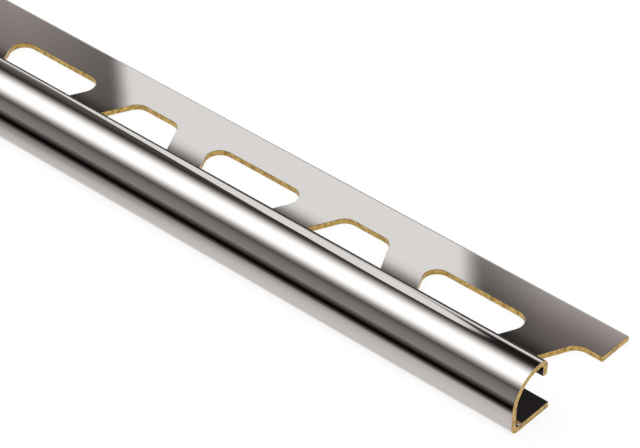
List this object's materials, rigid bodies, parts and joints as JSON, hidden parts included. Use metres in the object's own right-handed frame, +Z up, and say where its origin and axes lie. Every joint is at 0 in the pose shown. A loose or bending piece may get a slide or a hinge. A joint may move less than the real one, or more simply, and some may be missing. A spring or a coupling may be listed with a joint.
{
  "type": "quarter-round tile edge trim",
  "caption": "Straight metal tile edge trim with a rounded polished nose, a turned-down lip and a flat perforated anchoring leg that beds in mortar under the tile.",
  "frame": {"origin": "centre of the strip's underside rectangle, midway along its length", "axes": "+X along the strip, +Y from the rounded nose to the free edge of the leg, +Z up out of the bed"},
  "size_m": [1, 0.0278, 0.01],
  "materials": {
    "chrome_plate": "polished"
  },
  "bodies": {
    "root": {"edge_trim": "chrome_plate"}
  },
  "joints": []
}
